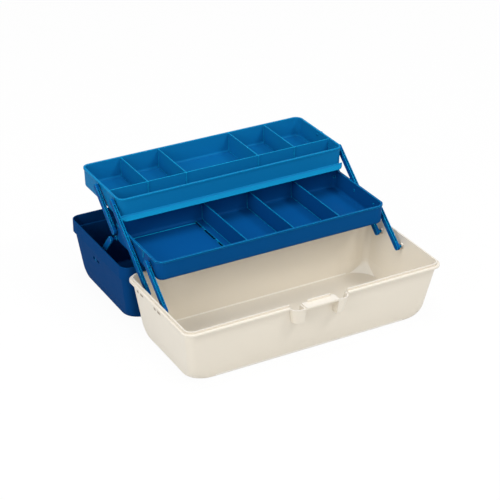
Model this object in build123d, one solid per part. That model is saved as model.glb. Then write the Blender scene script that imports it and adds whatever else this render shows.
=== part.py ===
"""A cantilever tackle box, standing open: an ivory base tub with its dark blue lid
folded back flat on the floor behind it, and two blue trays carried between them on
swinging arms, so that they spread out like stairs as the lid opens.

Frame: millimetres, +Z up. The origin is on the floor under the middle of the base
rim, +X runs along the box, and +Y points back, to the hinge side. The box is drawn
open, as it rests. What lies on the lid is also thought of in the closed place, which
is half a turn about the hinge pins away.
"""
import os
from math import atan2, cos, degrees, pi, radians, sin, sqrt, tan

from build123d import *

os.makedirs("parts", exist_ok=True)

# Base tub
base_length = 400.0  # over the rim flange
base_width = 185.0  # over the rim flange
base_height = 90.0  # to the top of the raised lip
base_wall = 2.0
base_floor = 2.2
flange_reach = 3.6
flange_thickness = 2.5
lip_height = 3.5  # the wall carries on this far above the flange
base_corner = 12.0  # plan radius of the upright corners
base_ball = 42.0  # plan radius of the corners down at the floor
base_ball_height = 19.0
base_edge = 4.0  # rounding along the bottom edges
base_inner_edge = 0.0  # inside, the floor meets the walls in a crease
base_inner_flare = 1.5  # so do the ball corners, which are swept from this far outside the walls
base_end_draft = 0.145  # millimetres in, for each millimetre down
base_front_draft = 0.19
base_rear_draft = 0.087
ball_steps = 7  # sections in the rounded lower part of a tub
cut_over = 1.0  # cutters run on this far past the face that they start from

# Latch shelf in the front of the base, with a pocket at each end
shelf_length = 50.6
shelf_reach = 12.0  # out from the wall; the pockets reach as far
shelf_drop = 0.3  # below the top of the flange
shelf_thickness = 2.8
shelf_bar_length = 34.4
shelf_bar_thickness = 2.2
shelf_bar_root = 1.5  # the bar starts this far below the top of the shelf
pocket_length = 19.7  # along the box, at the top
pocket_length_low = 14.5  # the same, at the bottom
pocket_wall = 2.0
pocket_square = 1.0  # the rounding stops this far before the wall
pocket_overlap = 0.8  # the pockets' rims stand this far above the underside of the shelf
pocket_height = 25.0
pocket_round = 3.5

# Lid
lid_end_gap = 0.5  # closed, the skirt stops this far inside each end of the flange
lid_rim_rise = 1.4  # of the open lid's rim above the top of the base
lid_front_gap = 0.6  # closed, the skirt stops this far inside the front edge of the flange
lid_wall = 1.9
lid_floor = 2.0
lid_skirt_height = 19.0
lid_skirt_step = 3.0
lid_corner = 14.0
lid_ball = 38.5
lid_ball_height = 17.5
lid_edge = 4.0
lid_end_draft = 0.131
lid_side_draft = 0.112

# Hinges at the back of the base
hinge_out = 5.3  # from the rear edge of the flange
hinge_drop = 0.85  # below the top of the base
hinge_inset = 75.0  # from each end of the base
hinge_length = 50.0
lid_knuckle_length = 25.0
knuckle_radius = 4.5
knuckle_gap = 0.5
lug_root = 0.5  # the lugs start this far inside the wall
lug_gap = 0.8  # between the lug of the lid and the flange, closed
gusset_thickness = 2.5
gusset_height = 9.5
hinge_pin_diameter = 4.0
running_clearance = 0.08  # of every turning pin in its hole, on the radius

# Arms that carry the trays
arm_pitch = 71.15  # from one pivot of an arm to the next
arm_rest_angle = 40.0  # above the horizontal, box open
arm_closed_angle = 144.5
arm_width = 9.0
arm_thickness = 4.5
arm_end_gap = 14.4  # from the inner face of an arm to the outside of the base's wall
arm_groove_width = 1.9  # grooves run along the two narrow edges
arm_groove_depth = 2.6
arm_groove_margin = 7.0
arm_pin_diameter = 4.4
foot_neck_diameter = 3.4
foot_neck_length = 0.8  # that shows between the collar and the base
foot_collar_diameter = 7.0
foot_collar_height = 0.7
arm_foot_inset = 38.0  # pivot of the long arms, from the rear edge of the base
arm_foot_drop = 15.0  # the same, below the top of the base
arm_spacing = 53.2  # between the pivots of two arms that carry the same tray
arm_pin_past_wall = 0.8
pin_end_gap = 0.2  # between the end of a pin and what faces it
pin_root = 1.0  # a moulded pin starts this far inside its bar

# At the foot pivots the end walls of the base have a boss inside, and outside a
# recess with a shorter one a little further back
foot_recess_length = 8.8
foot_recess_height = 5.2
foot_recess_depth = 1.4
foot_skin = 0.3  # left between the blind pivot hole and the recess
foot_boss_diameter = 8.4
foot_boss_height = 1.8
foot_mark_length = 5.4
foot_mark_offset = 12.6

# The links' pivot holes in the lid lie between two windows
lid_window_gap = 0.8  # from the pivot hole to each window
lid_near_window_length = 9.2
lid_near_window_height = 4.2
lid_far_window_length = 6.6
lid_far_window_height = 4.8

# Lower tray
lower_end_gap = 1.3  # from each end to the arms
lower_front_reach = 27.104  # from the pivot of the front arms to the front of the tray
lower_width = 140.8
lower_rim_rise = 11.265  # above the arms' pivots
lower_height = 30.5
lower_corner = 12.0
lower_pitch = 74.0  # of the cross dividers, counted from the right end
lower_pitch_inset = 1.7
slot_reach = 13.0  # from the slots to the last divider
slot_width = 3.4
slot_spans = ((46.6, 65.0), (73.8, 106.6), (115.8, 134.6))  # from the front of the tray
panel_step = 0.6  # the long compartment has a sunk floor panel
panel_margin = 7.0
panel_corner = 9.0
stop_boss_inset = 47.1  # from the front of the tray
stop_boss_drop = 8.0  # below the rim
stop_boss_length = 9.0
stop_boss_width = 3.2
stop_boss_depth = 2.2

# Upper tray
upper_end_gap = 0.6  # from each end to the arms
upper_front_reach = 16.708  # from the pivot of the long arms to the front of the tray
upper_width = 130.9
upper_rim_rise = 7.831  # above the arms' pivots
upper_height = 32.2
upper_corner = 11.6
upper_long_divider = 38.0  # behind the front of the tray
upper_end_bay = 62.4
upper_next_bay = 60.5
pull_lip_reach = 5.0
pull_lip_height = 5.4
pull_lip_thickness = 1.6

# Both trays
tray_wall = 1.8
tray_floor = 1.8
tray_draft = 1.5  # degrees
tray_edge = 6.0
tray_bead = 0.9
tray_bead_height = 2.4
divider_thickness = 1.4
divider_drop = 0.8  # below the rim
divider_tab = 1.5  # the cross dividers stand this far out of the long one

# Links between the lid and the lower tray
link_tray_inset = 4.8  # from the rear of the tray
link_tray_drop = 24.0  # below the rim of the tray
link_lid_drop = 35.4  # below the rim of the open lid
link_width = 9.0
link_thickness = 3.0
link_gap = 0.7  # outside the arms
link_pin_diameter = 4.4
link_boss_radius = 3.6
open_pivot_gap = 0.3

# Latch on the front of the lid
latch_pivot_behind = 1.9  # from the front edge of the shelf
latch_pivot_rise = 3.0  # above the top of the base, closed
latch_pin_diameter = 3.0
latch_pin_length = 62.0
latch_knuckle_radius = 3.2
latch_width = 44.0
latch_knuckle_width = 50.0
latch_plate_thickness = 2.2
latch_plate_height = 22.0  # below the pivot
latch_hook_height = 2.0
latch_hook_reach = 1.9
latch_hook_gap = 0.5  # below the shelf
latch_hook_root = 0.5  # the hook starts this far inside the plate
latch_gap = 0.3
latch_rest_angle = 164.3  # swung up from the shelf; it hangs straight down on the open lid

# Handle on the front of the lid
handle_pivot_out = 0.5  # from the latch's pivot
handle_pivot_rise = 6.5  # above the latch's pivot, closed
handle_leg_gap = 1.0  # between a leg and the bulge beside it
handle_leg_thickness = 6.0
handle_leg_width = 8.0
handle_length = 48.0
handle_grip_diameter = 12.0
handle_grip_round = 2.0
handle_pin_diameter = 4.0
handle_pin_root = 3.0  # the pins stand this far into the bulges
bulge_length = 20.0  # of the bulges on the lid that hold latch and handle
bulge_reach = 4.5  # out from the latch's pivot
bulge_round = 8.0
bulge_gap = 3.1  # above the rims of the pockets, closed
bulge_height = 22.7
bulge_wall = 2.0

# Worked out from the sizes above
flange_top = base_height - lip_height
shelf_top = flange_top - shelf_drop
pocket_top = shelf_top - shelf_thickness + pocket_overlap
half_base_x = base_length / 2 - flange_reach
half_base_y = base_width / 2 - flange_reach
hinge_y = base_width / 2 + hinge_out
hinge_z = base_height - hinge_drop
hinge_spacing = base_length - 2 * hinge_inset
lid_length = base_length - 2 * lid_end_gap
lid_width = base_width - lid_front_gap
lid_rim_height = base_height + lid_rim_rise
lid_half_x = lid_length / 2
lid_near_y = 2 * hinge_y - base_width / 2
lid_far_y = lid_near_y + lid_width
arm_inner_face = half_base_x - arm_end_gap
arm_outer_face = arm_inner_face + arm_thickness
arm_hole_radius = arm_pin_diameter / 2 + running_clearance
long_foot = (base_width / 2 - arm_foot_inset, base_height - arm_foot_drop)
front_foot = (long_foot[0] - arm_spacing, long_foot[1])


def along_arm(start, pitches, angle=arm_rest_angle):
    """Pivot a number of arm pitches up from a start point, as (y, z)."""
    reach = pitches * arm_pitch
    return (start[0] + reach * cos(radians(angle)), start[1] + reach * sin(radians(angle)))


lower_pivot = along_arm(long_foot, 1)
lower_front_pivot = along_arm(front_foot, 1)
lower_rear_pivot = (lower_pivot[0] + arm_spacing, lower_pivot[1])
upper_pivot = along_arm(long_foot, 2)
upper_rear_pivot = along_arm(lower_rear_pivot, 1)

lower_length = 2 * (arm_inner_face - lower_end_gap)
lower_front_y = lower_front_pivot[0] - lower_front_reach
lower_rim_z = lower_pivot[1] + lower_rim_rise
lower_dividers = [lower_length / 2 - lower_pitch_inset - bay * lower_pitch for bay in (3, 2, 1)]
slot_x = lower_dividers[0] - slot_reach
upper_length = 2 * (arm_inner_face - upper_end_gap)
upper_front_y = upper_pivot[0] - upper_front_reach
upper_rim_z = upper_pivot[1] + upper_rim_rise
upper_bay_ends = (upper_length / 2 - upper_end_bay, upper_length / 2 - upper_end_bay - upper_next_bay)
upper_cross_dividers = [side * x for x in upper_bay_ends for side in (-1, 1)]
link_tray = (lower_front_y + lower_width - link_tray_inset, lower_rim_z - link_tray_drop)
link_lid_z = lid_rim_height - link_lid_drop


def turned(point, angle, centre=(hinge_y, hinge_z)):
    """A (y, z) point turned about a line along X."""
    y = point[0] - centre[0]
    z = point[1] - centre[1]
    turn = radians(angle)
    return (centre[0] + y * cos(turn) - z * sin(turn), centre[1] + y * sin(turn) + z * cos(turn))


def link_lid_pivot():
    """Place of the link's pivot on the lid that is as far from the tray's pivot when
    the box is closed as when it is open."""
    start = along_arm((0, 0), 1)
    end = along_arm((0, 0), 1, arm_closed_angle)
    shut = turned((link_tray[0] + end[0] - start[0], link_tray[1] + end[1] - start[1]), 180)
    chord_y = shut[0] - link_tray[0]
    chord_z = shut[1] - link_tray[1]
    middle = (shut[0] ** 2 + shut[1] ** 2 - link_tray[0] ** 2 - link_tray[1] ** 2) / 2
    return ((middle - link_lid_z * chord_z) / chord_y, link_lid_z)


link_lid = link_lid_pivot()
shelf_edge_y = -half_base_y - shelf_reach
latch_pivot = (shelf_edge_y + latch_pivot_behind, base_height + latch_pivot_rise)
handle_pivot = (latch_pivot[0] - handle_pivot_out, latch_pivot[1] + handle_pivot_rise)
bulge_bottom = pocket_top + bulge_gap
bulge_middle_x = latch_knuckle_width / 2 + knuckle_gap + bulge_length / 2
handle_leg_inner = bulge_middle_x + bulge_length / 2 + handle_leg_gap


# Helpers
def side_plane(x, point=(0, 0), angle=0.0):
    """Sketch plane that faces +X, with its own x axis turned up from +Y."""
    heading = (0, cos(radians(angle)), sin(radians(angle)))
    return Plane(origin=(x, point[0], point[1]), x_dir=heading, z_dir=(1, 0, 0))


def rod(point, x_from, x_to, radius):
    """Cylinder along X."""
    return extrude(side_plane(x_from, point) * Circle(radius), amount=x_to - x_from)


def brick(x, y, z):
    """Block between two limits on each axis."""
    size = (x[1] - x[0], y[1] - y[0], z[1] - z[0])
    middle = ((x[0] + x[1]) / 2, (y[0] + y[1]) / 2, (z[0] + z[1]) / 2)
    return Pos(*middle) * Box(*size)


def profile_block(points, x_from, x_to):
    """Polygon of (y, z) points drawn out along X."""
    return extrude(side_plane(x_from) * make_face(Polyline(*points, close=True)), amount=x_to - x_from)


def both_sides(piece):
    """A piece on the right and its mirror image on the left."""
    return [piece, mirror(piece, about=Plane.YZ)]


def to_open(piece):
    """Takes what is drawn in the closed place of the lid to the open place."""
    return piece.rotate(Axis((0, hinge_y, hinge_z), (1, 0, 0)), 180)


def flared_outline(half_x, half_y, radius, flare):
    """Level rectangle whose corner arcs are those of a rectangle that is larger by the
    flare on every side."""
    centre_x = half_x + flare - radius
    centre_y = half_y + flare - radius
    across = sqrt(radius**2 - (radius - flare) ** 2)
    bow = radius / sqrt(2)
    edges = []
    for sign_x, sign_y in ((1, 1), (-1, 1), (-1, -1), (1, -1)):
        on_end = (sign_x * half_x, sign_y * (centre_y + across))
        on_side = (sign_x * (centre_x + across), sign_y * half_y)
        middle = (sign_x * (centre_x + bow), sign_y * (centre_y + bow))
        ends = [on_end, on_side] if sign_x == sign_y else [on_side, on_end]
        if edges:
            edges.append(Line(edges[-1] @ 1, ends[0]))
        edges.append(ThreePointArc(ends[0], middle, ends[1]))
    edges.append(Line(edges[-1] @ 1, edges[0] @ 0))
    return make_face(edges)


class Tub:
    """Moulded tub with drafted walls, whose upright corners turn into wide ball
    corners near the floor."""

    def __init__(self, half_x, near_y, far_y, top_z, drafts, corner, ball, ball_height, edge):
        self.half_x = half_x
        self.near_y = near_y
        self.far_y = far_y
        self.top_z = top_z
        self.end_draft, self.near_draft, self.far_draft = drafts
        self.corner = corner
        self.ball = ball
        self.ball_height = ball_height
        self.edge = edge

    def section(self, z, inset, floor, edge, flare):
        """Level outline at height z, drawn in by the inset, of a tub whose own floor is
        at the given height and has the given edge rounding. With a flare the corner
        arcs start outside the walls and meet them in a crease."""
        down = self.top_z - z
        above = z - floor
        edge_inset = 0.0
        if above < edge:
            edge_inset = edge - sqrt(edge**2 - (edge - above) ** 2)
        half_x = self.half_x - self.end_draft * down - inset - edge_inset
        near_y = self.near_y + self.near_draft * down + inset + edge_inset
        far_y = self.far_y - self.far_draft * down - inset - edge_inset
        depth = min(1.0, max(0.0, (self.ball_height - z) / (self.ball_height - floor)))
        swell = depth**2 if flare else 1 - sqrt(1 - depth**2)
        radius = self.corner + (self.ball - self.corner) * swell - inset - edge_inset / 2
        outline = flared_outline(half_x, (far_y - near_y) / 2, radius, flare * depth)
        return Pos(0, (near_y + far_y) / 2, z) * outline

    def solid(self, inset=0.0, floor=0.0, top=None, edge=None, flare=0.0):
        """The filled tub: a straight upper part on a rounded lower part."""
        top_z = self.top_z if top is None else top
        if edge is None:
            edge = self.edge - inset
        upper = [self.section(z, inset, floor, edge, flare) for z in (self.ball_height, top_z)]
        heights = []
        for step in range(ball_steps + 1):
            rise = 1 - sin(step / ball_steps * pi / 2)
            heights.append(floor + rise * (self.ball_height - floor))
        lower = [self.section(z, inset, floor, edge, flare) for z in reversed(heights)]
        return loft(upper, ruled=True) + loft(lower)


# Base
base_tub = Tub(
    half_base_x, -half_base_y, half_base_y, base_height,
    (base_end_draft, base_front_draft, base_rear_draft),
    base_corner, base_ball, base_ball_height, base_edge,
)


def wall_x_at(z):
    """Outer face of the base's end wall."""
    return half_base_x - base_end_draft * (base_height - z)


def foot_hole_end(z):
    """Blind end of an arm's pivot hole in the end wall."""
    return wall_x_at(z) - foot_recess_depth - foot_skin


def window_cut(centre, x_from, length, height):
    """Block from x_from out past the end walls, centred on a (y, z) point."""
    span_y = (centre[0] - length / 2, centre[0] + length / 2)
    span_z = (centre[1] - height / 2, centre[1] + height / 2)
    return brick((x_from, base_length / 2 + cut_over), span_y, span_z)


def pocket_section(z, inset, back):
    """Level outline of the right pocket: square to the shelf on one side and rounded
    away to the wall on the other. It runs back a little way past the wall's face."""
    down = (pocket_top - z) / pocket_height
    wall_y = -half_base_y + base_front_draft * (base_height - z)
    start_x = shelf_length / 2
    reach_x = pocket_length + (pocket_length_low - pocket_length) * down - inset
    reach_y = shelf_reach - inset
    outline = Pos(start_x + reach_x / 2, wall_y + (back - reach_y) / 2) * Rectangle(reach_x, back + reach_y)
    far_front = outline.vertices().group_by(Axis.Y)[0].sort_by(Axis.X)[-1]
    return Pos(0, 0, z) * fillet(far_front, reach_y - pocket_square)


def right_pocket(inset, bottom, top, back):
    """Filled pocket between two heights, with its lower front edge rounded."""
    block = loft([pocket_section(z, inset, back) for z in (bottom, top)])
    low_edges = block.edges().group_by(Axis.Z)[0].sort_by(Axis.Y)
    return fillet(low_edges[0], pocket_round - inset / 2)


def base_front_features():
    """Outside of the two pockets and the shelf between them, still solid."""
    pieces = both_sides(right_pocket(0, pocket_top - pocket_height, pocket_top, base_wall / 2))
    reach = shelf_length / 2 + pocket_wall / 2
    shelf_y = (shelf_edge_y, -half_base_y + base_wall)
    pieces.append(brick((-reach, reach), shelf_y, (shelf_top - shelf_thickness, shelf_top)))
    return pieces


def base_hinge_lugs():
    """Two knuckles and their lugs at each hinge."""
    pieces = []
    inner = lid_knuckle_length / 2 + knuckle_gap
    outer = hinge_length / 2
    for side in (-1, 1):
        for end in (-1, 1):
            low, high = sorted((end * inner, end * outer))
            span = (side * hinge_spacing / 2 + low, side * hinge_spacing / 2 + high)
            pieces.append(rod((hinge_y, hinge_z), *span, knuckle_radius))
            root_y = half_base_y - lug_root
            pieces.append(brick(span, (root_y, hinge_y), (flange_top - flange_thickness, flange_top)))
            gusset = [
                (root_y, flange_top - flange_thickness),
                (hinge_y, flange_top - flange_thickness),
                (root_y - lug_root, flange_top - flange_thickness - gusset_height),
            ]
            start = (span[0] + span[1] - gusset_thickness) / 2
            pieces.append(profile_block(gusset, start, start + gusset_thickness))
    return pieces


def make_base():
    body = base_tub.solid()
    flange = extrude(
        Pos(0, 0, flange_top - flange_thickness)
        * RectangleRounded(base_length, base_width, base_corner + flange_reach),
        amount=flange_thickness,
    )
    body = body + flange + base_front_features() + base_hinge_lugs()
    body = body - base_tub.solid(base_wall, base_floor, base_height, base_inner_edge, base_inner_flare)

    # The rim gives way at the pockets and the shelf
    front = -half_base_y
    half_shelf = shelf_length / 2
    gap = half_shelf + pocket_length
    back = 2 * base_wall + cut_over
    span_y = (shelf_edge_y - cut_over, front + back)
    hollow = right_pocket(pocket_wall, pocket_top - pocket_height + pocket_wall, pocket_top, back)
    hollow = hollow - brick((0, half_shelf + pocket_wall), span_y, (0, base_height))
    mouth = brick((half_shelf, gap), span_y, (pocket_top, base_height + cut_over))
    for cut in both_sides(hollow) + both_sides(mouth):
        body = body - cut
    body = body - brick((-gap, gap), span_y, (shelf_top, base_height + cut_over))
    bar_y = (front, front + shelf_bar_thickness)
    half_bar = shelf_bar_length / 2
    body = body + brick((-half_bar, half_bar), bar_y, (shelf_top - shelf_bar_root, base_height))

    # Pivot holes of the arms, with their bosses and recesses
    for foot in (long_foot, front_foot):
        face = wall_x_at(foot[1])
        boss_face = face - base_wall - foot_boss_height
        boss = rod(foot, boss_face, face - base_wall / 2, foot_boss_diameter / 2)
        body = body + both_sides(boss)
        mark = (foot[0] + foot_mark_offset, foot[1])
        cuts = [
            rod(foot, boss_face - cut_over, foot_hole_end(foot[1]), arm_hole_radius),
            window_cut(foot, face - foot_recess_depth, foot_recess_length, foot_recess_height),
            window_cut(mark, face - foot_recess_depth, foot_mark_length, foot_recess_height),
        ]
        for cut in cuts:
            body = body - both_sides(cut)

    for side in (-1, 1):
        middle = side * hinge_spacing / 2
        reach = hinge_length / 2 + cut_over
        body = body - rod((hinge_y, hinge_z), middle - reach, middle + reach, hinge_pin_diameter / 2)
    return body


# Lid
skirt_bottom = lid_rim_height - lid_skirt_height
lid_tub = Tub(
    lid_half_x - lid_skirt_step, lid_near_y + lid_skirt_step, lid_far_y - lid_skirt_step, skirt_bottom,
    (lid_end_draft, lid_side_draft, lid_side_draft),
    lid_corner - lid_skirt_step, lid_ball, lid_ball_height, lid_edge,
)


def lid_wall_x_at(z):
    """Outer face of the lid's end wall, below the skirt of the open lid."""
    return lid_half_x - lid_skirt_step - lid_end_draft * (skirt_bottom - z)


def skirt_block(inset, bottom, top):
    """The wider band at the lid's rim, drawn in by the inset."""
    outline = RectangleRounded(lid_length - 2 * inset, lid_width - 2 * inset, lid_corner - inset)
    return extrude(Pos(0, (lid_near_y + lid_far_y) / 2, bottom) * outline, amount=top - bottom)


def bulge(side, inset):
    """Closed-place block of a bulge on the lid's front, drawn in by the inset."""
    half = bulge_length / 2 - inset
    x = side * bulge_middle_x
    front = latch_pivot[0] - bulge_reach + inset
    outline = Rectangle(2 * half, 2 * half)
    outline = fillet(outline.vertices().group_by(Axis.Y)[0], bulge_round - inset)
    return extrude(Pos(x, front + half, bulge_bottom) * outline, amount=bulge_height - inset)


def make_lid():
    body = lid_tub.solid() + skirt_block(0, skirt_bottom, lid_rim_height)
    for side in (-1, 1):
        body = body + to_open(bulge(side, 0))
        middle = side * hinge_spacing / 2
        half = lid_knuckle_length / 2
        body = body + rod((hinge_y, hinge_z), middle - half, middle + half, knuckle_radius)
        lug_z = (hinge_z - knuckle_radius, 2 * hinge_z - flange_top - lug_gap)
        body = body + brick((middle - half, middle + half), (hinge_y, lid_near_y + lid_wall), lug_z)
    body = body - skirt_block(lid_wall, skirt_bottom + lid_wall, lid_rim_height)
    body = body - lid_tub.solid(lid_wall, lid_floor, skirt_bottom + lid_wall)
    for side in (-1, 1):
        body = body - to_open(bulge(side, bulge_wall))

    latch_hole = rod(latch_pivot, -latch_pin_length / 2, latch_pin_length / 2, latch_pin_diameter / 2)
    body = body - to_open(latch_hole)
    handle_radius = handle_pin_diameter / 2 + running_clearance
    handle_hole = rod(handle_pivot, bulge_middle_x, handle_leg_inner, handle_radius)
    for hole in both_sides(handle_hole):
        body = body - to_open(hole)

    # Pivot holes of the links, each between two windows
    face = lid_wall_x_at(link_lid[1])
    start = face - lid_wall - cut_over
    hole_radius = link_pin_diameter / 2 + running_clearance
    near_y = link_lid[0] - hole_radius - lid_window_gap - lid_near_window_length / 2
    far_y = link_lid[0] + hole_radius + lid_window_gap + lid_far_window_length / 2
    cuts = [
        rod(link_lid, start, face + cut_over, hole_radius),
        window_cut((near_y, link_lid[1]), start, lid_near_window_length, lid_near_window_height),
        window_cut((far_y, link_lid[1]), start, lid_far_window_length, lid_far_window_height),
    ]
    for cut in cuts:
        body = body - both_sides(cut)
    for side in (-1, 1):
        middle = side * hinge_spacing / 2
        reach = lid_knuckle_length / 2 + cut_over
        hole = hinge_pin_diameter / 2 + running_clearance
        body = body - rod((hinge_y, hinge_z), middle - reach, middle + reach, hole)
    return body


# Trays
def tray_block(length, width, front_y, rim_z, height, corner, inset, edge):
    """Filled tray, drafted and rounded below, drawn in by the inset."""
    outline = RectangleRounded(length - 2 * inset, width - 2 * inset, corner - inset)
    middle = Plane(origin=(0, front_y + width / 2, rim_z), z_dir=(0, 0, -1))
    block = extrude(middle * outline, amount=height, taper=tray_draft)
    return fillet(block.edges().group_by(Axis.Z)[0], edge)


def tray_bead_ring(length, width, front_y, rim_z, corner):
    """Slight bead round the rim of a tray."""
    outline = RectangleRounded(length, width, corner)
    return extrude(Pos(0, front_y + width / 2, rim_z - tray_bead_height) * outline, amount=tray_bead_height)


def lower_tray_blocks():
    """Outside and inside of the lower tray as filled blocks."""
    length = lower_length - 2 * tray_bead
    width = lower_width - 2 * tray_bead
    sizes = (length, width, lower_front_y + tray_bead, lower_rim_z)
    outside = tray_block(*sizes, lower_height, lower_corner - tray_bead, 0, tray_edge)
    inside = tray_block(
        *sizes, lower_height - tray_floor, lower_corner - tray_bead, tray_wall, tray_edge - tray_wall
    )
    return outside, inside


def pin_holes(points, half_length):
    """Holes along X through both end walls of a tray."""
    holes = []
    for point in points:
        holes += both_sides(rod(point, half_length - tray_edge, half_length + cut_over, arm_hole_radius))
    return holes


def make_lower_tray():
    outside, inside = lower_tray_blocks()
    body = outside + tray_bead_ring(lower_length, lower_width, lower_front_y, lower_rim_z, lower_corner)
    body = body - inside
    rear_y = lower_front_y + lower_width
    floor_z = lower_rim_z - lower_height
    for x in lower_dividers:
        slab = brick(
            (x - divider_thickness / 2, x + divider_thickness / 2),
            (lower_front_y, rear_y),
            (floor_z, lower_rim_z - divider_drop),
        )
        body = body + (slab & inside)

    # The long compartment's floor panel is sunk a little
    floor_top = floor_z + tray_floor
    panel_left = -lower_length / 2 + tray_edge + panel_margin
    panel_right = slot_x + slot_width / 2
    panel_front = lower_front_y + tray_edge + panel_margin
    panel_rear = rear_y - tray_edge - panel_margin / 2
    panel = Pos((panel_left + panel_right) / 2, (panel_front + panel_rear) / 2, floor_top - panel_step)
    outline = RectangleRounded(panel_right - panel_left, panel_rear - panel_front, panel_corner)
    body = body - extrude(panel * outline, amount=panel_step + cut_over)
    slot_across = (slot_x - slot_width / 2, slot_x + slot_width / 2)
    slot_z = (floor_z - cut_over, floor_top + cut_over)
    for start, end in slot_spans:
        slot_y = (lower_front_y + start, lower_front_y + end)
        body = body - brick(slot_across, slot_y, slot_z)

    # A small boss on each end stops the front arms
    boss_point = (lower_front_y + stop_boss_inset, lower_rim_z - stop_boss_drop)
    boss_plane = side_plane(lower_length / 2 - tray_bead - stop_boss_depth, boss_point)
    boss_outline = SlotOverall(stop_boss_length, stop_boss_width, rotation=90)
    boss = extrude(boss_plane * boss_outline, amount=stop_boss_depth + tray_bead)
    body = body + [piece - inside for piece in both_sides(boss)]

    body = body - pin_holes((lower_pivot, lower_front_pivot, lower_rear_pivot), lower_length / 2)
    # The links meet these pins; the rear corner of the tray curves away behind them
    pin_start = lower_length / 2 - lower_corner
    pin_end = arm_outer_face + link_gap - open_pivot_gap
    pin = rod(link_tray, pin_start, pin_end, link_pin_diameter / 2)
    pin = pin + rod(link_tray, pin_start, lower_length / 2, link_boss_radius)
    return body + both_sides(pin - inside)


def make_upper_tray():
    length = upper_length - 2 * tray_bead
    width = upper_width - 2 * tray_bead
    sizes = (length, width, upper_front_y + tray_bead, upper_rim_z)
    corner = upper_corner - tray_bead
    outside = tray_block(*sizes, upper_height, corner, 0, tray_edge)
    inside = tray_block(*sizes, upper_height - tray_floor, corner, tray_wall, tray_edge - tray_wall)
    body = outside + tray_bead_ring(upper_length, upper_width, upper_front_y, upper_rim_z, upper_corner)

    floor_z = upper_rim_z - upper_height
    top_y = upper_front_y + 2 * tray_bead
    lip = [
        (top_y, floor_z + pull_lip_height + pull_lip_thickness),
        (upper_front_y - pull_lip_reach, floor_z),
        (upper_front_y - pull_lip_reach + pull_lip_thickness, floor_z),
        (top_y + 2 * tray_bead, floor_z + pull_lip_height),
    ]
    half_lip = upper_length / 2
    lip_plan = RectangleRounded(upper_length, upper_width + pull_lip_reach, upper_corner)
    plan_middle = upper_front_y + (upper_width - pull_lip_reach) / 2
    lip_limit = extrude(Pos(0, plan_middle, floor_z) * lip_plan, amount=upper_height)
    body = body + (profile_block(lip, -half_lip, half_lip) & lip_limit)
    body = body - inside

    rear_y = upper_front_y + upper_width
    wall_y = upper_front_y + upper_long_divider
    top_z = upper_rim_z - divider_drop
    slabs = [
        brick(
            (-upper_length / 2, upper_length / 2),
            (wall_y - divider_thickness / 2, wall_y + divider_thickness / 2),
            (floor_z, top_z),
        )
    ]
    tab_y = wall_y - divider_thickness / 2 - divider_tab
    for x in upper_cross_dividers:
        across = (x - divider_thickness / 2, x + divider_thickness / 2)
        slabs.append(brick(across, (tab_y, rear_y), (floor_z, top_z)))
    for slab in slabs:
        body = body + (slab & inside)
    return body - pin_holes((upper_pivot, upper_rear_pivot), upper_length / 2)


# Arms and links, drawn on the right
def bar(start, length, angle, x_from, thickness, width):
    """Flat bar with round ends, from its first pivot."""
    outline = Pos(length / 2, 0) * SlotCenterToCenter(length, width)
    return extrude(side_plane(x_from, start, angle) * outline, amount=thickness)


def edge_grooves(start, pitches):
    """Grooves in both narrow edges of an arm, one pair between neighbouring pivots."""
    pieces = []
    x_from = arm_inner_face + (arm_thickness - arm_groove_width) / 2
    plane = side_plane(x_from, start, arm_rest_angle)
    length = arm_pitch - 2 * arm_groove_margin
    for bay in range(pitches):
        for side in (-1, 1):
            middle = side * (arm_width / 2 + (cut_over - arm_groove_depth) / 2)
            outline = Pos((bay + 0.5) * arm_pitch, middle) * Rectangle(length, arm_groove_depth + cut_over)
            pieces.append(extrude(plane * outline, amount=arm_groove_width))
    return pieces


def foot_pin(point):
    """Collar, neck and head of the snap-in pin at the foot of an arm."""
    hole_end = foot_hole_end(point[1])
    head_start = wall_x_at(point[1]) - base_wall - foot_boss_height - foot_neck_length
    root = arm_outer_face - pin_root
    collar = rod(point, root, arm_outer_face + foot_collar_height, foot_collar_diameter / 2)
    neck = rod(point, root, hole_end - pin_end_gap, foot_neck_diameter / 2)
    head = rod(point, head_start, hole_end - pin_end_gap, arm_pin_diameter / 2)
    return collar + neck + head


def make_arm(start, pitches, foot, inward_pins):
    """Arm with its grooves and pins; each inward pin is (pivot, wall face it passes)."""
    body = bar(start, pitches * arm_pitch, arm_rest_angle, arm_inner_face, arm_thickness, arm_width)
    body = body - edge_grooves(start, pitches)
    if foot:
        body = body + foot_pin(foot)
    for point, wall_face in inward_pins:
        pin_start = wall_face - arm_pin_past_wall
        body = body + rod(point, pin_start, arm_inner_face + pin_root, arm_pin_diameter / 2)
    return body


def tray_inner_x(length, rim_z, z):
    """Inner face of a tray's end wall at a height."""
    return length / 2 - tray_bead - tray_wall - (rim_z - z) * tan(radians(tray_draft))


lower_wall_face = tray_inner_x(lower_length, lower_rim_z, lower_pivot[1])
upper_wall_face = tray_inner_x(upper_length, upper_rim_z, upper_pivot[1])


def make_link():
    """Strap from the lid's end wall to the pin on the lower tray."""
    rise = link_tray[1] - link_lid[1]
    run = link_tray[0] - link_lid[0]
    length = sqrt(rise**2 + run**2)
    inner = arm_outer_face + link_gap
    body = bar(link_lid, length, degrees(atan2(rise, run)), inner, link_thickness, link_width)
    pin_end = lid_wall_x_at(link_lid[1]) - pin_end_gap
    return body + rod(link_lid, inner + pin_root, pin_end, link_pin_diameter / 2)


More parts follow.
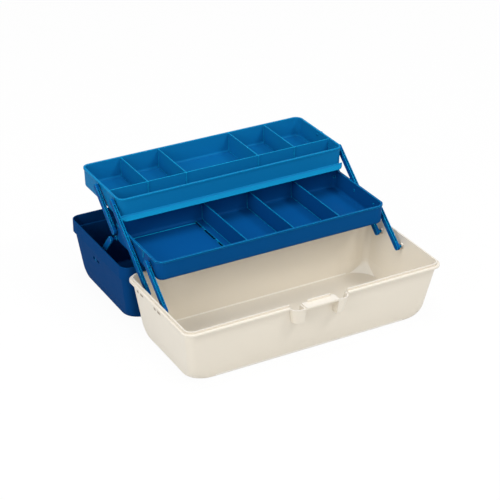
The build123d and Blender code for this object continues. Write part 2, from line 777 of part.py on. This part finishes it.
# Latch and handle, drawn in the closed place
def make_latch():
    plate_inner = shelf_edge_y - latch_gap
    plate_outer = plate_inner - latch_plate_thickness
    hook_top = shelf_top - shelf_thickness - latch_hook_gap
    plate_z = (latch_pivot[1] - latch_plate_height, latch_pivot[1])
    half = latch_width / 2
    body = rod(latch_pivot, -latch_knuckle_width / 2, latch_knuckle_width / 2, latch_knuckle_radius)
    body = body + brick((-half, half), (plate_outer, plate_inner), plate_z)
    hook_y = (plate_outer + latch_hook_root, shelf_edge_y + latch_hook_reach)
    body = body + brick((-half, half), hook_y, (hook_top - latch_hook_height, hook_top))
    hole = latch_pin_diameter / 2 + running_clearance
    body = body - rod(latch_pivot, -latch_knuckle_width, latch_knuckle_width, hole)
    swing = Axis((0, latch_pivot[0], latch_pivot[1]), (1, 0, 0))
    return to_open(body.rotate(swing, -latch_rest_angle))


def make_handle():
    outer = handle_leg_inner + handle_leg_thickness
    leg = bar(handle_pivot, handle_length, 90, handle_leg_inner, handle_leg_thickness, handle_leg_width)
    grip_centre = (handle_pivot[0], handle_pivot[1] + handle_length)
    body = rod(grip_centre, -outer, outer, handle_grip_diameter / 2)
    body = fillet(body.edges(), handle_grip_round)
    body = body + both_sides(leg)
    hole = rod(handle_pivot, handle_leg_inner - cut_over, outer + cut_over, handle_pin_diameter / 2)
    return to_open(body - both_sides(hole))


handle_pin_right = rod(
    handle_pivot,
    bulge_middle_x + bulge_length / 2 - bulge_wall - handle_pin_root,
    handle_leg_inner + handle_leg_thickness,
    handle_pin_diameter / 2,
)
hinge_pin_right = rod(
    (hinge_y, hinge_z),
    hinge_spacing / 2 - hinge_length / 2,
    hinge_spacing / 2 + hinge_length / 2,
    hinge_pin_diameter / 2,
)
latch_pin = rod(latch_pivot, -latch_pin_length / 2, latch_pin_length / 2, latch_pin_diameter / 2)

nodes = {
    "base": make_base(),
    "lid": make_lid(),
    "lower_tray": make_lower_tray(),
    "upper_tray": make_upper_tray(),
    "handle": make_handle(),
    "latch": make_latch(),
    "latch_pin": to_open(latch_pin),
}
right_pieces = {
    "long_arm": make_arm(
        long_foot, 2, long_foot, [(lower_pivot, lower_wall_face), (upper_pivot, upper_wall_face)]
    ),
    "front_arm": make_arm(front_foot, 1, front_foot, [(lower_front_pivot, lower_wall_face)]),
    "rear_arm": make_arm(
        lower_rear_pivot, 1, None, [(lower_rear_pivot, lower_wall_face), (upper_rear_pivot, upper_wall_face)]
    ),
    "lid_link": make_link(),
    "hinge_pin": hinge_pin_right,
    "handle_pin": to_open(handle_pin_right),
}
for name, piece in right_pieces.items():
    right, left = both_sides(piece)
    nodes[name + "_right"] = right
    nodes[name + "_left"] = left

for name, solid in nodes.items():
    export_step(solid, os.path.join("parts", name + ".step"))
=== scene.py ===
"""Looks of the open tackle box: moulded plastics for its tubs, trays and arms, brushed
steel for its pins, a white floor under it and the photograph's view. Metres, +Z up."""

from math import radians

import bpy
from mathutils import Euler, Matrix, Vector

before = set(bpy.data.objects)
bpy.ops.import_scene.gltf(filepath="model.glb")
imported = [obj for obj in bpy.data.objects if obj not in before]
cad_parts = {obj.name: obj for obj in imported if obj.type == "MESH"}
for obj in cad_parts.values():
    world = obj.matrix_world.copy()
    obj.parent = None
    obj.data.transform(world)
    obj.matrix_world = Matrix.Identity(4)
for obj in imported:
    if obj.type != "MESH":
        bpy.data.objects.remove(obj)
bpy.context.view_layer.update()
bpy.context.scene.view_settings.view_transform = "Standard"

# Camera, as the photograph was taken
image_size = 500.0  # pixels across
focal_pixels = 1625.1
sensor_width = 36.0
camera_place = (-0.9792, -1.6955, 1.1756)
camera_turn = 28.57  # degrees towards +X from looking along +Y
camera_down = 28.35
camera_roll = -0.25

# Colours, as linear light
ivory = (0.84, 0.775, 0.66)
lid_blue = (0.003, 0.054, 0.20)
tray_blue = (0.004, 0.185, 0.44)
# Painted highlight: the upper tray's pull lip is given a lighter blue.
lip_highlight_blue = (0.002, 0.235, 0.48)
# Painted shade: the tops of the upper tray's floor are given a darker blue.
tray_floor_shade_blue = (0.003, 0.125, 0.34)
# Painted shade: the lower tray is a darker copy of the tray blue, where the upper tray shades
# it.
lower_shade_blue = (0.002, 0.078, 0.27)
arm_blue = (0.001, 0.085, 0.30)
# Painted highlights: the lighter edge colours below make rims and edges look lit.
ivory_edge_highlight = (0.85, 0.81, 0.745)
lid_edge_highlight = (0.004, 0.085, 0.24)
tray_edge_highlight = (0.004, 0.50, 0.80)
lower_edge_highlight = (0.004, 0.50, 0.80)
arm_edge_highlight = (0.004, 0.58, 0.92)
# Painted highlight along the floor creases and on the round floor corners of the base.
crease_highlight_ivory = (0.99, 0.95, 0.86)
# Painted shade: the tops of the rim and latch shelf are given a darker ivory.
rim_top_shade_ivory = (0.77, 0.72, 0.64)
# Painted shade in the recesses outside the feet of the arms.
recess_shade_ivory = (0.56, 0.50, 0.42)
steel = (0.60, 0.60, 0.61)

# Places where light and shade are painted into the colour, as boxes: centre and half size, in
# metres. The two ends of the tackle box are alike, so x is the distance from its middle.
# Painted highlight along the creases where floor and walls meet.
floor_crease_highlights = [  # just above the floor, inside the long walls and inside the end walls
    ((0, 0.0041, 0.0036), (0.148, 0.0781, 0.0011)),
    ((0.1772, 0.0041, 0.0036), (0.0073, 0.036, 0.0011)),
]
# Painted highlight on the round floor corners, on their tops only.
floor_corner_highlights = [  # the round corners where floor and walls meet, front and rear
    ((0.1622, y, 0.012), (0.0222, 0.0215, 0.0094)) for y in (-0.0535, 0.0615)
]
mark_spans = [(0.0545, 0.0088), (0.0671, 0.0054), (0.0013, 0.0088), (0.0139, 0.0054)]
mark_margin = 0.0004
# Painted shade in the recesses outside the feet of the arms.
foot_recess_shades = [  # the recesses outside the feet of the arms, from their middles and lengths
    ((0.194, y, 0.075), (0.004, length / 2 + mark_margin, 0.0031)) for y, length in mark_spans
]
# Painted highlight on the pull lip.
pull_lip = ((0, 0.1442, 0.1457), (0.190, 0.0026, 0.004))  # along the upper tray
# Painted shade on the upper tray's floor.
tray_floor = ((0, 0.2135, 0.1440), (0.182, 0.065, 0.0013))  # of the upper tray
# Painted shade on the tops of the rim and latch shelf.
rim = ((0, 0, 0.088), (0.205, 0.120, 0.006))  # with the latch shelf

# Surfaces
edge_rounding = 0.0008  # how far moulded edges are softened
edge_samples = 6
# Where the painted edge highlight begins and where it is complete:
edge_start = 0.99  # cosine between the softened and the true normal where an edge begins
edge_full = 0.85  # and where it is complete
grain_size = 2200.0  # fine moulded grain, waves per metre
grain_depth = 0.0002
mottle_size = 14.0  # slow drift of colour, waves per metre
rub_size = 84.0  # uneven gloss, waves per metre
blue_drift = 0.035  # how far the blues drift to either side, as a share of the colour
tray_roughness = (0.34, 0.46)
steel_lines = (40.0, 3000.0, 3000.0)  # waves per metre along each axis
steel_drift = 0.12
steel_roughness = (0.25, 0.45)

# Floor and surroundings
floor_size = 12.0
floor_gap = 0.0002  # that it lies below the feet
floor_white = (0.66, 0.66, 0.66)
floor_roughness = 0.9
floor_specular = 0.1
floor_glow = 0.93  # share of the floor's look that is plain white; the rest keeps the shadow
glow_strength = 1.02
ambient_strength = 0.36
background_strength = 1.0


def node_of(tree, kind, **inputs):
    """A shader node with its unlinked inputs set by name."""
    made = tree.nodes.new(kind)
    for name, value in inputs.items():
        made.inputs[name.replace("_", " ")].default_value = value
    return made


def between(tree, source, low, high):
    """Maps a 0 to 1 value to a range."""
    spread = tree.nodes.new("ShaderNodeMapRange")
    spread.inputs["To Min"].default_value = low
    spread.inputs["To Max"].default_value = high
    tree.links.new(source, spread.inputs["Value"])
    return spread.outputs["Result"]


def shaded(tree, source, colour, depth):
    """A colour that drifts a little darker and lighter with a 0 to 1 value."""
    mix = tree.nodes.new("ShaderNodeMix")
    mix.data_type = "RGBA"
    dark = tuple(channel * (1 - depth) for channel in colour)
    light = tuple(channel * (1 + depth) for channel in colour)
    mix.inputs["A"].default_value = (*dark, 1)
    mix.inputs["B"].default_value = (*light, 1)
    tree.links.new(source, mix.inputs["Factor"])
    return mix.outputs["Result"]


def edge_highlight_share(tree, rounding):
    """How near a point is to an edge or rim, from 0 to 1, which sets where the edge highlight is
    painted:
    there the softened normal turns away from the true one."""
    true_normal = tree.nodes.new("ShaderNodeNewGeometry").outputs["Normal"]
    turned = tree.nodes.new("ShaderNodeVectorMath")
    turned.operation = "DOT_PRODUCT"
    tree.links.new(rounding.outputs["Normal"], turned.inputs[0])
    tree.links.new(true_normal, turned.inputs[1])
    share = tree.nodes.new("ShaderNodeMapRange")
    share.inputs["From Min"].default_value = edge_start
    share.inputs["From Max"].default_value = edge_full
    tree.links.new(turned.outputs["Value"], share.inputs["Value"])
    return share.outputs["Result"]


def moulded_plastic(name, colour, edge_highlight_colour, roughness, grain, drift, specular):
    """Injection-moulded plastic: slight drift in colour, rims and edges painted lighter as a
    painted highlight, uneven satin gloss, a fine grain and softened edges."""
    material = bpy.data.materials.new(name)
    material.use_nodes = True
    tree = material.node_tree
    shader = tree.nodes["Principled BSDF"]
    shader.inputs["Specular IOR Level"].default_value = specular
    place = tree.nodes.new("ShaderNodeTexCoord").outputs["Object"]

    mottle = node_of(tree, "ShaderNodeTexNoise", Scale=mottle_size, Detail=3.0)
    tree.links.new(place, mottle.inputs["Vector"])
    rounding = tree.nodes.new("ShaderNodeBevel")
    rounding.samples = edge_samples
    rounding.inputs["Radius"].default_value = edge_rounding
    # Painted highlight: edges are mixed towards a lighter edge colour.
    edge_highlighted = tree.nodes.new("ShaderNodeMix")
    edge_highlighted.data_type = "RGBA"
    edge_highlighted.inputs["B"].default_value = (*edge_highlight_colour, 1)
    tree.links.new(edge_highlight_share(tree, rounding), edge_highlighted.inputs["Factor"])
    tree.links.new(shaded(tree, mottle.outputs["Fac"], colour, drift), edge_highlighted.inputs["A"])
    tree.links.new(edge_highlighted.outputs["Result"], shader.inputs["Base Color"])

    rub = node_of(tree, "ShaderNodeTexNoise", Scale=rub_size, Detail=5.0)
    tree.links.new(place, rub.inputs["Vector"])
    tree.links.new(between(tree, rub.outputs["Fac"], *roughness), shader.inputs["Roughness"])

    pits = node_of(tree, "ShaderNodeTexNoise", Scale=grain_size, Detail=2.0)
    tree.links.new(place, pits.inputs["Vector"])
    bump = node_of(tree, "ShaderNodeBump", Strength=grain, Distance=grain_depth)
    tree.links.new(pits.outputs["Fac"], bump.inputs["Height"])
    tree.links.new(rounding.outputs["Normal"], bump.inputs["Normal"])
    tree.links.new(bump.outputs["Normal"], shader.inputs["Normal"])
    return material


def joined(tree, operation, first, second):
    """Two values put together, or the second alone where there is no first yet."""
    if first is None:
        return second
    both = tree.nodes.new("ShaderNodeMath")
    both.operation = operation
    tree.links.new(first, both.inputs[0])
    tree.links.new(second, both.inputs[1])
    return both.outputs[0]


def in_box(tree, box):
    """1 inside a box, and in its mirror image on the other end of the tackle box."""
    place = tree.nodes.new("ShaderNodeTexCoord").outputs["Object"]
    axes = tree.nodes.new("ShaderNodeSeparateXYZ")
    tree.links.new(place, axes.inputs["Vector"])
    off_middle = tree.nodes.new("ShaderNodeMath")
    off_middle.operation = "ABSOLUTE"
    tree.links.new(axes.outputs["X"], off_middle.inputs[0])
    share = None
    for value, middle, reach in zip((off_middle.outputs[0], *axes.outputs[1:]), *box):
        near = tree.nodes.new("ShaderNodeMath")
        near.operation = "COMPARE"
        tree.links.new(value, near.inputs[0])
        near.inputs[1].default_value = middle
        near.inputs[2].default_value = reach
        share = joined(tree, "MULTIPLY", share, near.outputs[0])
    return share


def facing_up(tree):
    """1 on level tops, 0 on walls and below 0 on undersides, which a mix takes as 0."""
    normal = tree.nodes.new("ShaderNodeNewGeometry").outputs["Normal"]
    axes = tree.nodes.new("ShaderNodeSeparateXYZ")
    tree.links.new(normal, axes.inputs["Vector"])
    return axes.outputs["Z"]


def paint_light_and_shade(material, boxes, colour, tops_only=False):
    """Paints highlights and shade into the surface: another base colour inside some boxes, or
    only on their tops.
    """
    tree = material.node_tree
    base_colour = tree.nodes["Principled BSDF"].inputs["Base Color"]
    share = None
    for box in boxes:
        share = joined(tree, "MAXIMUM", share, in_box(tree, box))
    if tops_only:
        share = joined(tree, "MULTIPLY", share, facing_up(tree))
    mix = tree.nodes.new("ShaderNodeMix")
    mix.data_type = "RGBA"
    mix.inputs["B"].default_value = (*colour, 1)
    tree.links.new(share, mix.inputs["Factor"])
    tree.links.new(base_colour.links[0].from_socket, mix.inputs["A"])
    tree.links.new(mix.outputs["Result"], base_colour)


def brushed_steel(name):
    """Drawn wire for the pins: fine lines along X."""
    material = bpy.data.materials.new(name)
    material.use_nodes = True
    tree = material.node_tree
    shader = tree.nodes["Principled BSDF"]
    shader.inputs["Metallic"].default_value = 1.0
    place = tree.nodes.new("ShaderNodeTexCoord").outputs["Object"]
    stretch = tree.nodes.new("ShaderNodeMapping")
    stretch.inputs["Scale"].default_value = steel_lines
    tree.links.new(place, stretch.inputs["Vector"])
    lines = node_of(tree, "ShaderNodeTexNoise", Scale=1.0, Detail=3.0)
    tree.links.new(stretch.outputs["Vector"], lines.inputs["Vector"])
    tint = shaded(tree, lines.outputs["Fac"], steel, steel_drift)
    tree.links.new(tint, shader.inputs["Base Color"])
    roughness = between(tree, lines.outputs["Fac"], *steel_roughness)
    tree.links.new(roughness, shader.inputs["Roughness"])
    return material


def dress(material, *names):
    """Gives CAD nodes a material."""
    for name in names:
        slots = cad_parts[name].data.materials
        slots.clear()
        slots.append(material)


def seen_directly(tree):
    """1 for rays that show a surface to the camera: straight, in a gloss or through glass."""
    path = tree.nodes.new("ShaderNodeLightPath")
    seen = None
    for ray in ("Is Camera Ray", "Is Glossy Ray", "Is Transmission Ray"):
        seen = joined(tree, "MAXIMUM", seen, path.outputs[ray])
    return seen


def floor_material():
    """White floor that keeps the object's shadow and fades into the background."""
    material = bpy.data.materials.new("floor")
    material.use_nodes = True
    tree = material.node_tree
    shader = tree.nodes["Principled BSDF"]
    shader.inputs["Base Color"].default_value = (*floor_white, 1)
    shader.inputs["Roughness"].default_value = floor_roughness
    shader.inputs["Specular IOR Level"].default_value = floor_specular
    glow = node_of(tree, "ShaderNodeEmission", Color=(1, 1, 1, 1), Strength=glow_strength)
    share = tree.nodes.new("ShaderNodeMath")
    share.operation = "MULTIPLY"
    share.inputs[1].default_value = floor_glow
    mix = tree.nodes.new("ShaderNodeMixShader")
    tree.links.new(seen_directly(tree), share.inputs[0])
    tree.links.new(share.outputs[0], mix.inputs["Fac"])
    tree.links.new(shader.outputs["BSDF"], mix.inputs[1])
    tree.links.new(glow.outputs["Emission"], mix.inputs[2])
    tree.links.new(mix.outputs["Shader"], tree.nodes["Material Output"].inputs["Surface"])
    return material


def make_floor():
    """Flat floor, which isn't part of the object."""
    bpy.ops.mesh.primitive_plane_add(size=floor_size, location=(0, 0, -floor_gap))
    floor = bpy.context.object
    floor.name = "floor"
    floor.data.materials.append(floor_material())


def make_world():
    """Even pale surroundings, white where the camera or a gloss sees them."""
    world = bpy.data.worlds.new("surroundings")
    bpy.context.scene.world = world
    world.use_nodes = True
    tree = world.node_tree
    ambient = tree.nodes["Background"]
    ambient.inputs["Color"].default_value = (1, 1, 1, 1)
    ambient.inputs["Strength"].default_value = ambient_strength
    white = tree.nodes.new("ShaderNodeBackground")
    white.inputs["Strength"].default_value = background_strength
    mix = tree.nodes.new("ShaderNodeMixShader")
    tree.links.new(seen_directly(tree), mix.inputs["Fac"])
    tree.links.new(ambient.outputs["Background"], mix.inputs[1])
    tree.links.new(white.outputs["Background"], mix.inputs[2])
    tree.links.new(mix.outputs["Shader"], tree.nodes["World Output"].inputs["Surface"])


def soft_box(name, place, target, size, power):
    """Square area light that looks at a point."""
    light = bpy.data.lights.new(name, "AREA")
    light.size = size
    light.energy = power
    lamp = bpy.data.objects.new(name, light)
    lamp.location = place
    lamp.rotation_euler = (Vector(target) - Vector(place)).to_track_quat("-Z", "Y").to_euler()
    bpy.context.scene.collection.objects.link(lamp)


def make_camera():
    """The photograph's view."""
    data = bpy.data.cameras.new("camera")
    data.sensor_width = sensor_width
    data.lens = focal_pixels / image_size * sensor_width
    camera = bpy.data.objects.new("camera", data)
    looking = Euler((radians(90 - camera_down), 0, radians(-camera_turn))).to_matrix().to_4x4()
    rolled = looking @ Matrix.Rotation(radians(camera_roll), 4, "Z")
    camera.matrix_world = Matrix.Translation(camera_place) @ rolled
    bpy.context.scene.collection.objects.link(camera)
    bpy.context.scene.camera = camera


# Materials of the CAD pieces
ivory_plastic = moulded_plastic(
    "ivory", ivory, ivory_edge_highlight,
    roughness=(0.28, 0.40), grain=0.08, drift=0.02, specular=0.5,
)
# Painted highlights along the floor creases and on the round floor corners.
paint_light_and_shade(ivory_plastic, floor_crease_highlights, crease_highlight_ivory)
paint_light_and_shade(ivory_plastic, floor_corner_highlights, crease_highlight_ivory, tops_only=True)
# Painted shade in the foot recesses.
paint_light_and_shade(ivory_plastic, foot_recess_shades, recess_shade_ivory)
# Painted shade on the tops of the rim and latch shelf.
paint_light_and_shade(ivory_plastic, [rim], rim_top_shade_ivory, tops_only=True)
dress(ivory_plastic, "base", "latch")

lid_plastic = moulded_plastic(
    "lid_blue", lid_blue, lid_edge_highlight,
    roughness=(0.40, 0.54), grain=0.12, drift=blue_drift, specular=0.004,
)
dress(lid_plastic, "lid", "handle")

tray_plastic = moulded_plastic(
    "tray_blue", tray_blue, tray_edge_highlight,
    roughness=tray_roughness, grain=0.08, drift=blue_drift, specular=0.02,
)
# Painted highlight on the pull lip.
paint_light_and_shade(tray_plastic, [pull_lip], lip_highlight_blue)
# Painted shade on the upper tray's floor.
paint_light_and_shade(tray_plastic, [tray_floor], tray_floor_shade_blue, tops_only=True)
dress(tray_plastic, "upper_tray")

# Painted shade: a darker copy of the tray plastic for the lower tray, under the upper tray.
lower_shade_plastic = moulded_plastic(
    "lower_shade_blue", lower_shade_blue, lower_edge_highlight,
    roughness=tray_roughness, grain=0.08, drift=blue_drift, specular=0.02,
)
dress(lower_shade_plastic, "lower_tray")

arm_kinds = ("long_arm", "front_arm", "rear_arm", "lid_link")
arm_names = [kind + side for kind in arm_kinds for side in ("_right", "_left")]
arm_plastic = moulded_plastic(
    "arm_blue", arm_blue, arm_edge_highlight,
    roughness=(0.28, 0.40), grain=0.06, drift=blue_drift, specular=0.01,
)
dress(arm_plastic, *arm_names)

pin_names = [part + side for part in ("hinge_pin", "handle_pin") for side in ("_right", "_left")]
dress(brushed_steel("steel"), "latch_pin", *pin_names)

make_floor()
make_world()
soft_box("key", place=(1.18, -1.30, 2.15), target=(0, 0.0, 0.05), size=0.6, power=20.0)
soft_box("top", place=(-0.2, 0.1, 2.8), target=(0, 0.05, 0.05), size=1.4, power=34.0)
soft_box("front", place=(0.2, -2.3, 1.65), target=(0, 0.05, 0.05), size=2.0, power=15.5)
soft_box("left", place=(-2.2, -0.8, 1.3), target=(0, 0.05, 0.05), size=1.2, power=24.0)
make_camera()
